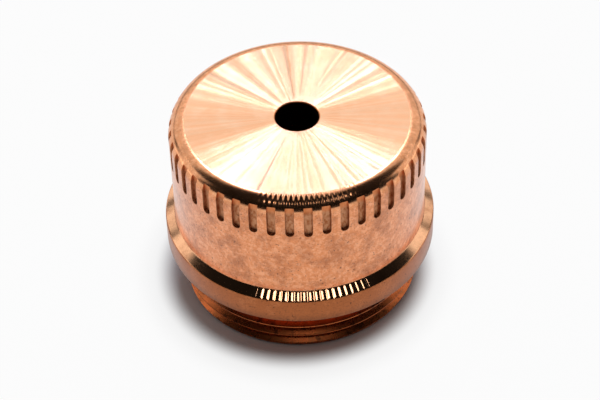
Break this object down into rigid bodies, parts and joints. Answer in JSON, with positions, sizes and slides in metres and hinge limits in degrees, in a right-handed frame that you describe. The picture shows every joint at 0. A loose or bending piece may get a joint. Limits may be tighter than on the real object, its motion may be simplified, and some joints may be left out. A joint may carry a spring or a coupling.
{
  "type": "plasma torch shield cap",
  "caption": "One-piece turned copper shield cap for a plasma cutting torch: flat tip face with an orifice, fluted rounded edge, flange, threaded rear and a hollow chamber.",
  "frame": {"origin": "centre of the rear rim, on the turning axis, at the plane that the cap stands on", "axes": "+Z along the turning axis, from the rear rim to the tip face; the first flute is centred on -Y"},
  "size_m": [0.0246, 0.0246, 0.0181],
  "materials": {
    "copper": null
  },
  "bodies": {
    "root": {"shield_cap": "copper"}
  },
  "joints": []
}
